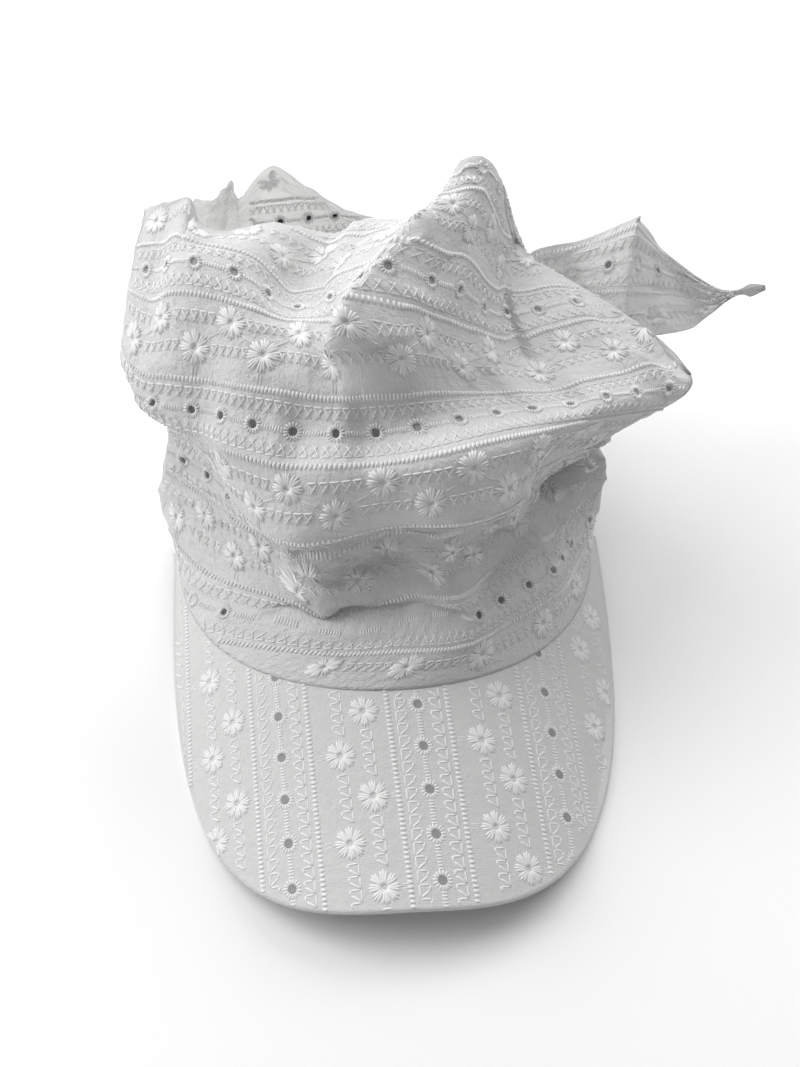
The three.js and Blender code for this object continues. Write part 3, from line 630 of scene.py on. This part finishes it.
def embroider(name, stitches, surface, inside, press=None):
    """Turns rows of (from, to, width, height) into one mesh of threads lying on the surface."""
    work = np.array(stitches, float)
    middle = (work[:, :2] + work[:, 2:4]) / 2
    if press:
        work[:, 5] *= press(middle[:, 0], middle[:, 1])
    kept = inside(work[:, 0], work[:, 1]) & inside(work[:, 2], work[:, 3])
    work = work[kept & inside(middle[:, 0], middle[:, 1])]
    along = np.array([0.02, 0.28, 0.72, 0.98])
    plump = np.array([0.45, 1.0, 1.0, 0.45])
    section = np.array([(-0.5, 0.05), (0.0, 1.0), (0.5, 0.05), (0.0, -0.4)])
    at = work[:, None, :2] * (1 - along)[:, None] + work[:, None, 2:4] * along[:, None]
    a, b = at[..., 0].ravel(), at[..., 1].ravel()
    e = 0.3
    here = surface(a, b)
    normal = np.cross(surface(a + e, b) - here, surface(a, b + e) - here)
    normal /= np.maximum(np.linalg.norm(normal, axis=1), 1e-9)[:, None]
    here, normal = here.reshape(-1, 4, 3), normal.reshape(-1, 4, 3)
    run = here[:, 3] - here[:, 0]
    run /= np.maximum(np.linalg.norm(run, axis=1), 1e-9)[:, None]
    side = np.cross(run[:, None, :], normal)
    side /= np.maximum(np.linalg.norm(side, axis=2), 1e-9)[..., None]
    wide = (work[:, 4, None] * plump)[..., None, None]
    high = (work[:, 5, None] * plump)[..., None, None]
    points = (here[:, :, None] + side[:, :, None] * wide * section[None, None, :, :1]
              + normal[:, :, None] * high * section[None, None, :, 1:])
    quads = []
    for ring in range(3):
        for k in range(4):
            m = (k + 1) % 4
            quads.append((ring * 4 + k, (ring + 1) * 4 + k, (ring + 1) * 4 + m, ring * 4 + m))
    quads += [(0, 1, 2, 3), (15, 14, 13, 12)]
    faces = (np.array(quads)[None] + np.arange(len(work))[:, None, None] * 16).reshape(-1, 4)
    mesh = bpy.data.meshes.new(name)
    mesh.from_pydata(to_metres(points.reshape(-1, 3)), [], faces)
    mesh.update()
    mesh.polygons.foreach_set("use_smooth", np.ones(len(mesh.polygons), bool))
    piece = bpy.data.objects.new(name, mesh)
    bpy.context.collection.objects.link(piece)
    mesh.materials.append(thread)
    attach(piece, "root")


def thread_finish():
    """Mercerised cotton thread: brighter than the cloth, a soft sheen, fine uneven plies."""
    made = bpy.data.materials.new("white embroidery cotton")
    made.use_nodes = True
    nodes, links = made.node_tree.nodes, made.node_tree.links
    shader = nodes["Principled BSDF"]
    place_of = nodes.new("ShaderNodeTexCoord")
    plies = nodes.new("ShaderNodeTexNoise")
    plies.inputs["Scale"].default_value = 1500
    plies.inputs["Detail"].default_value = 3
    links.new(place_of.outputs["Object"], plies.inputs["Vector"])
    tone = nodes.new("ShaderNodeMixRGB")
    tone.inputs["Color1"].default_value = (0.78, 0.78, 0.775, 1)
    tone.inputs["Color2"].default_value = (0.87, 0.87, 0.865, 1)
    links.new(plies.outputs["Fac"], tone.inputs["Fac"])
    links.new(tone.outputs["Color"], shader.inputs["Base Color"])
    bump = nodes.new("ShaderNodeBump")
    bump.inputs["Strength"].default_value = 0.3
    bump.inputs["Distance"].default_value = 0.0002
    links.new(plies.outputs["Fac"], bump.inputs["Height"])
    links.new(bump.outputs["Normal"], shader.inputs["Normal"])
    shader.inputs["Roughness"].default_value = 0.6
    shader.inputs["Sheen Weight"].default_value = 0.3
    return made


thread = thread_finish()


def crown_cloth(s, t):
    s = np.clip(s + drift(s, t), FIRST, END)
    return crown_point(s, np.clip(level_of(s, t), 0, TOP))


def on_crown(s, t):
    s = s + drift(s, t)
    v = level_of(s, t)
    off_edges = (np.abs(s - LAST) > 1.2) & (s > FIRST + 1) & (s < END - 1)
    return (v > 0.8) & (v < TOP - 1.5) & off_edges


def pressed_flat(s, t):
    """Stitches crushed in the deep tuck lie almost level with the cloth."""
    off = np.minimum(np.hypot((s + 4) / 62, (t - 64) / 27), np.hypot((s + 20) / 34, (t - 29) / 13))
    return 1 - 0.75 * np.clip(2.6 - 2.2 * off, 0, 1)


def spread(columns, rows):
    """Each motif of the rows, (even columns' height, odd columns'), with the stretch of the cloth."""
    x, y = np.array([((k - MIDDLE) * PITCH, row[k % 2]) for row in rows for k in columns], float).T
    return zip(x, y, stretch(crown_cloth, x, y))


cords, daisies, eyelets, feathers = [], [], [], []
for base in BANDS:
    for side in (-1, 1):
        feathers += feather(FIRST, END, base + side * BAND["feather"], base + side * BAND["feather tip"])
        cords += cord_row(FIRST, END, base + side * BAND["cord"])
for x, y, on in spread(range(-5, 30), [(base, base) for base in BANDS]):
    if not drawn_shut(x, y):
        eyelets += worked_eyelet(x, y, on)
    eyelets += satin_bar(x + AFTER_RING, x + PITCH - BEFORE_RING, y)
REPEAT = BANDS[1] - BANDS[0]
staggered = [(base + BAND["daisies"][0], base + BAND["daisies"][1]) for base in (-22, 28, 78, 128, 178)]
for x, y, on in spread(range(-6, 30), staggered):
    if level_of(np.array([x]), np.array([y]))[0] < 2.5:
        continue
    daisies += daisy(x, y, on=on)
    feathers += pennants(x + OFF_DAISY, x + 2 * PITCH - OFF_DAISY, y)
    # two straight stalks towards the nearer cord, and a slanting thread to the next daisy
    toward, stalk = (1, 6.6) if (y - BANDS[0]) % REPEAT == BAND["daisies"][1] else (-1, 9.6)
    feathers += [(x + d, y + toward * 5.8, x + d, y + toward * stalk, 0.4, 0.4) for d in (-0.7, 0.7)]
    feathers.append((x + 4.6, y - toward * 3.6, x + PITCH - 4.6, y - toward * 6.4, 0.35, 0.35))
for name, stitches in (("crown_cords", cords), ("crown_daisies", daisies), ("crown_eyelets", eyelets),
                       ("crown_feather_stitch", feathers)):
    embroider(name, stitches, crown_cloth, on_crown, pressed_flat)


# ---------------------------------------------------------------- brim
# The peak: a stiff arched board with the same cotton over its top, its rounded edge and its
# underside. The crown's hem is sewn over its inner margin.
BRIM_TURNS, BRIM_ROWS = 150, 92          # the grid, across the peak and from top to underside
EDGE_ROUND = 1.3                         # half the thickness, rolled at the edge
ROLL_FROM = 0.985                        # the roll begins at this share of the reach


def brim_plan(angle, reach):
    """Plan of the peak: angle from side to side, reach from the inner margin (0) to the edge (1)."""
    def radius(across, ahead, n):
        return (np.abs(np.sin(angle) / across) ** n + np.abs(np.cos(angle) / ahead) ** n) ** (-1 / n)
    inner = radius(HEAD["half"] - BRIM["tuck"], HEAD["front"] - BRIM["tuck"], 2)
    outer = radius(BRIM["half"], BRIM["reach"], BRIM["square"])
    r = inner + (outer - inner) * reach
    x = r * np.sin(angle) + BRIM["lean"] * reach * np.sqrt(np.maximum(np.cos(angle), 0))
    return x, HEAD["middle"] - r * np.cos(angle)


def brim_shell(angle, along):
    """along 0..1: top from the inner margin out, round the edge, and back underneath."""
    top, under = 0.52, 0.60
    reach = np.where(along < top, along / top, np.where(along > under, (1 - along) / (1 - under), 1.0))
    x, y = brim_plan(angle, np.minimum(reach, ROLL_FROM))
    turn = np.clip((along - top) / (under - top), 0, 1) * math.pi
    middle = brim_top(x, y) - EDGE_ROUND
    edge_x, edge_y = brim_plan(angle, np.ones_like(angle))
    out = np.c_[edge_x - x, edge_y - y]
    out /= np.maximum(np.linalg.norm(out, axis=1), 1e-6)[:, None]
    swell = EDGE_ROUND * np.sin(turn)
    return np.c_[x + out[:, 0] * swell, y + out[:, 1] * swell, middle + EDGE_ROUND * np.cos(turn)]


def turn_over(piece):
    bpy.context.view_layer.objects.active = piece
    bpy.ops.object.mode_set(mode='EDIT')
    bpy.ops.mesh.select_all(action='SELECT')
    bpy.ops.mesh.flip_normals()
    bpy.ops.object.mode_set(mode='OBJECT')


brim, flat = flat_cloth("brim_cloth", BRIM_TURNS, BRIM_ROWS)
turns = 0.996 * math.pi * (flat[:, 0] - 0.5)
shape = brim_shell(turns, flat[:, 1])
lay(brim, shape, shape[:, :2])
turn_over(brim)
bpy.ops.object.shade_smooth()
brim.select_set(False)
brim.data.materials.append(cotton("white cotton lawn on the peak", (0.68, 0.68, 0.675), WEAVE, 0, 0.4))
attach(brim, "root")
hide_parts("brim")

# The same bands on the peak run from the crown to the edge, a little aslant. One row a repeat:
# where its eyelets lie across the peak, then where one eyelet and one daisy of each row fall along it.
BRIM_BANDS = [
    (-90.5, 90.0, 99.1, 87.9),
    (-40.5, 90.6, 108.6, 93.7),
    (10.0, 92.2, 104.4, 87.4),
    (60.5, 98.0, 91.7, 106.0),
]
BRIM_PITCH, BRIM_LEAN = 14.9, 0.08
BRIM_LONG = 170                          # rows of stitches start behind the peak and end ahead of it
arch_x = np.linspace(-100, 100, 801)
arch_run = np.cumsum(np.sqrt(1 + (2 * BRIM["arch"] * arch_x / HEAD["half"] ** 2) ** 2)) * 0.25
arch_run -= np.interp(0, arch_x, arch_run)


def brim_cloth(p, q):
    """p across the peak over its arch, q forwards; the bands lean over as they go forwards."""
    x = np.interp(p + BRIM_LEAN * (q - 120), arch_run, arch_x)
    return np.c_[x, -q, brim_top(x, -q)]


def on_brim(p, q):
    x = np.interp(p + BRIM_LEAN * (q - 120), arch_run, arch_x)
    ahead = q + HEAD["middle"]
    angle, r = np.arctan2(x, ahead), np.hypot(x, ahead)
    edge_x, edge_y = brim_plan(angle, np.ones_like(angle))
    seam_x, seam_y = brim_plan(angle, np.zeros_like(angle))
    inside_edge = r < np.hypot(edge_x, edge_y - HEAD["middle"]) - 0.2
    off_seam = r > np.hypot(seam_x, seam_y - HEAD["middle"]) + 1.2
    return (ahead > 2) & inside_edge & off_seam


def crossways(stitches):
    """Bands are written along x; on the peak they run forwards."""
    return [(y0, x0, y1, x1, wide, high) for x0, y0, x1, y1, wide, high in stitches]


brim_work, brim_eyelets = [], []
for across, eyelet_at, daisy_at, daisy2_at in BRIM_BANDS:
    for n in range(-8, 8):
        x = eyelet_at + n * BRIM_PITCH
        brim_eyelets.append((across, x))
        bar = satin_bar(x + AFTER_RING, x + BRIM_PITCH - BEFORE_RING, across)
        brim_work += crossways(worked_eyelet(x, across) + bar)
    for side in (-1, 1):
        brim_work += crossways(feather(0, BRIM_LONG, across + side * 8, across + side * 4.3, 4.5, False))
        brim_work += crossways(cord_row(0, BRIM_LONG, across + side * 10.8))
    for first, row, toward in ((daisy_at, across + 21.5, -1), (daisy2_at, across + 31.2, 1)):
        for n in range(-4, 4):
            x = first + n * 2 * BRIM_PITCH
            made = daisy(x, row, 5.8)
            made += pennants(x + OFF_DAISY, x + 2 * BRIM_PITCH - OFF_DAISY, row, 4, False)
            made += [(x + d, row + toward * 5.8, x + d, row + toward * 9, 0.4, 0.4) for d in (-0.7, 0.7)]
            brim_work += crossways(made)
embroider("brim_embroidery", brim_work, brim_cloth, on_brim)


def backing(name, spots, surface, radius, depth, dark, light):
    """Small rounds that close each eyelet: a little dished, on or inside the cloth, in a grey from dark to
    light that paints the shade seen through the hole.
    """
    sides = 12
    rim = np.linspace(0, 2 * math.pi, sides + 1)[:-1]
    rounds = [(0.0, 0.0, 0.0)]
    rounds += [(far * radius, q, rise) for far, rise in ((0.62, 0.04), (1, 0.12)) for q in rim]
    far, q, rise = np.array(rounds).T
    a = (spots[:, :1] + far * np.cos(q)).ravel()
    b = (spots[:, 1:] + far * np.sin(q)).ravel()
    here = surface(a, b)
    normal = np.cross(surface(a + 0.3, b) - here, surface(a, b + 0.3) - here)
    normal /= np.linalg.norm(normal, axis=1)[:, None]
    points = here + normal * (np.tile(rise, len(spots)) - depth)[:, None]
    nexts = [(1 + k, 1 + (k + 1) % sides) for k in range(sides)]
    faces = [(0, k, m) for k, m in nexts] + [(k, sides + k, sides + m, m) for k, m in nexts]
    mesh = bpy.data.meshes.new(name)
    mesh.from_pydata(to_metres(points.reshape(-1, 3)), [],
                     [tuple(v + len(rounds) * n for v in face) for n in range(len(spots)) for face in faces])
    mesh.update()
    piece = bpy.data.objects.new(name, mesh)
    bpy.context.collection.objects.link(piece)
    backing_shade_finish = bpy.data.materials.new(name)
    backing_shade_finish.use_nodes = True
    nodes, links = backing_shade_finish.node_tree.nodes, backing_shade_finish.node_tree.links
    place_of, fibre = nodes.new("ShaderNodeTexCoord"), nodes.new("ShaderNodeTexNoise")
    fibre.inputs["Scale"].default_value = 1800
    fibre.inputs["Detail"].default_value = 4
    # painted shade: each round's grey, from dark to light, stands in for the shade inside its eyelet
    tone = nodes.new("ShaderNodeMixRGB")
    tone.inputs["Color1"].default_value = (dark, dark, dark, 1)
    tone.inputs["Color2"].default_value = (light, light, light, 1)
    links.new(place_of.outputs["Object"], fibre.inputs["Vector"])
    links.new(fibre.outputs["Fac"], tone.inputs["Fac"])
    links.new(tone.outputs["Color"], nodes["Principled BSDF"].inputs["Base Color"])
    nodes["Principled BSDF"].inputs["Roughness"].default_value = 0.9
    mesh.materials.append(backing_shade_finish)
    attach(piece, "root")


# The peak is cloth over a stiff board, so each eyelet there shows the grey board and not daylight; the
# rounds' grey is partly the board's own tone and partly painted shade inside the hole.
spots = np.array(brim_eyelets, float)
spots = spots[on_brim(spots[:, 0], spots[:, 1])]
backing("brim_eyelet_board_and_painted_shade", spots[:, ::-1], lambda q, p: brim_cloth(p, q),    # turned, to face up
        1.5, -0.08, 0.24, 0.38)

# Where the crown is folded, a second layer of the cloth lies behind its eyelets; these rounds stand in for
# that white layer, painted grey as painted shade.
spots = np.array([((k - MIDDLE) * PITCH, base) for base in BANDS[2:] for k in range(-4, 12)
                  if base > BANDS[2] or k > 3], float)
spots = spots[on_crown(spots[:, 0], spots[:, 1]) & (spots[:, 0] < LAST - 4)]
backing("crown_inner_layer_painted_shade", spots, crown_cloth, 1.8, 0.45, 0.3, 0.4)


# ---------------------------------------------------------------- scarf ties
# Two free ends of the same thin cotton, with a narrow turned hem, that come out from behind the
# crown: a long one on the right, folded once and twisted to a tip, and a short one on the left.
TIE_RIGHT_SIZE, TIE_LEFT_SIZE = (130, 45), (75, 35)
TIE_HEM = 3.5
TIE_THICK = 0.7
TIE_ROW = TIE_RIGHT_SIZE[1] - 14         # height of the long tie's one row of eyelets
TIE_WORK_END = 118                       # its stitches stop before the gathered tip
FLAP_FROM, FLAP_LEVEL = -36, 104         # the short tie's eyelets: x of the first, level where x is 0
TIE_RIGHT_ROOT = (0.25, (104, 84, 62))   # place round the back, levels of its three edges
TIE_FOLD = 3                             # the sharp fold lies on this row
# upper edge, fold and lower edge, from the crown outwards
TIE_RIGHT = [
    ((66, 84, 84), (66, 82, 66), (66, 80, 48)),
    ((85, 88, 86), (84, 80, 68), (86, 76, 50)),
    ((105, 80, 104), (102, 66, 80.5), (104, 58.5, 58.6)),
    ((123, 88, 78), (127, 82, 63), (133, 72, 49)),
    ((145, 88, 60), (145, 84, 55), (145, 80, 50)),
    ((156, 87.8, 56.6), (156, 86.8, 56.2), (156, 85.8, 55.6)),
    ((162, 88, 60), (162, 85.4, 60), (162, 83.2, 57)),
    ((168, 86.4, 60.2), (168, 85.4, 60), (168, 84.4, 59.2)),
]
TIE_LEFT_LEVEL = 152
# place round the back, upper edge
TIE_LEFT = [
    (0.86, (-64, 62, 131)), (0.835, (-59.5, 66, 127)), (0.815, (-56.5, 68, 127)), (0.8, (-54, 70, 129.5)),
    (0.787, (-51, 71, 132)), (0.775, (-50.5, 72, 125)), (0.755, (-48.5, 73, 123.5)), (0.71, (-37, 79, 132)),
    (0.67, (-27, 81, 123)), (0.63, (-19, 81, 116)), (0.595, (-12, 82, 110)), (0.56, (-5, 82, 106.5)),
    (0.535, (0, 82, 105)),
]


def against_back(a, v, off):
    """Places just off the crown's back, where the ties start."""
    e = 0.01
    a, v = np.asarray(a, float), np.asarray(v, float)
    around = crown_back(a + e, v) - crown_back(a - e, v)
    up = crown_back(a, v + 1) - crown_back(a, v - 1)
    normal = np.cross(around, up)
    normal /= np.linalg.norm(normal, axis=1)[:, None]
    return crown_back(a, v) + normal * off


tie_root = against_back(np.full(3, TIE_RIGHT_ROOT[0]), np.array(TIE_RIGHT_ROOT[1]), 3 * GAP)
tie_rows = np.concatenate([tie_root[None], np.array(TIE_RIGHT, float)])
foot_at = np.linspace(TIE_LEFT[-1][0], TIE_LEFT[0][0], 161)
foot_line = against_back(foot_at, np.full(161, TIE_LEFT_LEVEL), GAP + 1.4)


def tie_right_point(u, w):
    """The cloth is pressed to a sharp edge at the fold, so each side of it is a curve of its own."""
    strips = []
    for first, last in ((0, TIE_FOLD), (TIE_FOLD, len(tie_rows) - 1)):
        knots = np.arange(first, last + 1)
        strips.append(np.stack([curve(knots, tie_rows[knots, k], u) for k in range(3)], axis=1))
    return curve([0, 1, 2], np.where((u <= TIE_FOLD)[:, None, None], *strips), w)


def tie_left_point(u, w):
    """The short end stands up from its foot behind the crown and bellies out a little."""
    knots = np.arange(len(TIE_LEFT))
    upper = curve(knots, [row[1] for row in TIE_LEFT], u)
    a = curve(knots, [[row[0]] for row in TIE_LEFT], u)[:, 0]
    foot = np.stack([np.interp(a, foot_at, foot_line[:, k]) for k in range(3)], axis=1)
    point = upper + (foot - upper) * (w / 2)[:, None]
    point[:, 1] += 3 * np.sin(math.pi * w / 2)
    return point


def hemmed(point, u, w, across, pleats=0.0):
    """Adds the turned hem along both edges, and pleats that gather towards the end."""
    e = 0.02
    along = point(u + e, w) - point(u - e, w)
    down = point(u, w + e) - point(u, w - e)
    normal = np.cross(along, down)
    normal /= np.maximum(np.linalg.norm(normal, axis=1), 1e-9)[:, None]
    edge = np.minimum(w, 2 - w) * across / 2
    lift = TIE_THICK * np.clip((TIE_HEM - edge) / 0.8, 0, 1)
    for across_s, along_s, start in ((1.1, 2.3, 0), (0.55, -3.4, 1), (0.8, 6.1, 2), (1.9, 4.3, 4)):
        here = np.sin(u * 3.1 + edge * 0.3 + start * 2)
        lift += 0.28 * np.sin(edge * across_s + u * along_s + start) * here
    gathered = np.clip((u - 3.4) / 2, 0, 1) * np.clip((5.6 - u) / 1.4, 0, 1)
    lift += pleats * gathered * np.sin(w * 11 + 0.8 * u)
    wide = np.linalg.norm(point(u, w * 0) - point(u, w * 0 + 2), axis=1)
    return point(u, w) + normal * (lift * np.clip(wide / 24, 0.1, 1))[:, None]


TIE_LONG, TIE_HIGH = TIE_RIGHT_SIZE
tie_u = np.linspace(0, len(TIE_RIGHT), 351)
tie_line = tie_right_point(tie_u, np.full(351, 0.8))
tie_run = np.r_[0, np.cumsum(np.linalg.norm(np.diff(tie_line, axis=0), axis=1))]
tie_run *= TIE_LONG / tie_run[-1]


def tie_right_cloth(p, q):
    """p along the tie from the crown, q up from its lower edge."""
    w = 2 - 2 * np.clip(q, 0, TIE_HIGH) / TIE_HIGH
    return hemmed(tie_right_point, np.interp(p, tie_run, tie_u), w, 40, 0.9)


flap_u = np.linspace(0, len(TIE_LEFT) - 1, 241)
flap_top = tie_left_point(flap_u, np.zeros(241))
flap_foot = tie_left_point(flap_u, np.full(241, 2.0))


def flap_place(p, q):
    """The left end stands on edge, so its cloth is measured across (p) and up (q) from an eyelet."""
    x = FLAP_FROM + 0.69 * p
    z = FLAP_LEVEL - 0.17 * x + 0.75 * q
    u = np.interp(x, flap_top[:, 0], flap_u)
    high, low = np.interp(u, flap_u, flap_top[:, 2]), np.interp(u, flap_u, flap_foot[:, 2])
    return u, 2 * (high - z) / (high - low)


def tie_left_cloth(p, q):
    u, w = flap_place(p, q)
    return hemmed(tie_left_point, u, np.clip(w, 0, 2), 30)


def tie_work(start, end, middle, away, first, daisy_first, last):
    """One band along a tie: its eyelets, the feather stitch and cords beside them, and the daisies."""
    made = []
    beyond = middle + away * BAND["daisies"][0]
    for k in range(-3, 8):
        x, bloom = first + k * PITCH, daisy_first + k * PITCH
        made += worked_eyelet(x, middle) + satin_bar(x + AFTER_RING, x + PITCH - BEFORE_RING, middle)
        if k % 2 == 0:
            made += daisy(bloom, beyond)
            made += pennants(bloom + OFF_DAISY, daisy_first + (k + 2) * PITCH - OFF_DAISY, beyond)
    for side in (-1, 1):
        made += feather(start, end, middle + side * BAND["feather"], middle + side * BAND["feather tip"])
        made += cord_row(start, end, middle + side * BAND["cord"])
    return [row for row in made if start < row[0] < last]


def on_tie_right(p, q):
    return (p > 2) & (p < TIE_WORK_END) & (q > 1) & (q < TIE_HIGH - 0.6)


def on_flap(p, q):
    u, w = flap_place(p, q)
    return (u > 6) & (u < 11.8) & (w > 0.08) & (w < 1.9)


right_at = np.interp(2.6, tie_u, tie_run)
tie_eyelets = np.array([(right_at + k * PITCH, TIE_ROW) for k in (0, 2)])
flap_eyelets = np.array([(k * PITCH, 0.0) for k in (0, 1, 2)])
flap_last = flap_u[-1]
flap_holes = np.stack(flap_place(flap_eyelets[:, 0], flap_eyelets[:, 1]), axis=1)
flap_holes *= np.array(TIE_LEFT_SIZE) / (flap_last, 2)
# name, columns, rows, flat size, eyelets on the flat cloth, colour, how much light comes through
TIES = [
    ("tie_right", 104, 36, TIE_RIGHT_SIZE, tie_eyelets, (0.96, 0.96, 0.955), 0.3),
    ("tie_left", 100, 26, TIE_LEFT_SIZE, flap_holes, (0.9, 0.9, 0.895), 0.7),
]
for name, columns, rows, size, holes, colour, through in TIES:
    tie, flat = flat_cloth(name + "_cloth", columns, rows)
    places, gone = pierce(flat * np.array(size, float), columns, rows, holes, 1.5)
    along, up = places.T
    if name == "tie_right":
        lay(tie, tie_right_cloth(along, up), places, gone)
    else:
        lay(tie, hemmed(tie_left_point, flap_last * along / size[0], 2 * up / size[1], 30), places, gone)
        turn_over(tie)
    finish_cloth(tie, TIE_THICK)
    side = name[len("tie_"):]
    tie.data.materials.append(cotton(f"white cotton lawn of the {side} tie", colour, WEAVE, through, 1.8))
    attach(tie, "root")
    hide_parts(name)
right_work = tie_work(0, TIE_LONG, TIE_ROW, -1, right_at, right_at - 4, TIE_WORK_END + 2)
for at in (1.9, TIE_HIGH - 1.6):
    right_work += cord_row(4, TIE_WORK_END - 1, at)
embroider("tie_right_embroidery", right_work, tie_right_cloth, on_tie_right)
embroider("tie_left_embroidery", tie_work(-16, 60, 0, 1, 0, -4, 60), tie_left_cloth, on_flap)
# Both ends are folded double, so their eyelets show the inner layer in shade; these rounds stand in for that
# white cloth, painted dark grey and near black as painted shade.
backing("tie_right_inner_layer_painted_shade", tie_eyelets, tie_right_cloth, 1.7, 0.4, 0.14, 0.26)
backing("tie_left_inner_layer_painted_shade", flap_eyelets, tie_left_cloth, 1.7, 0.4, 0.03, 0.05)
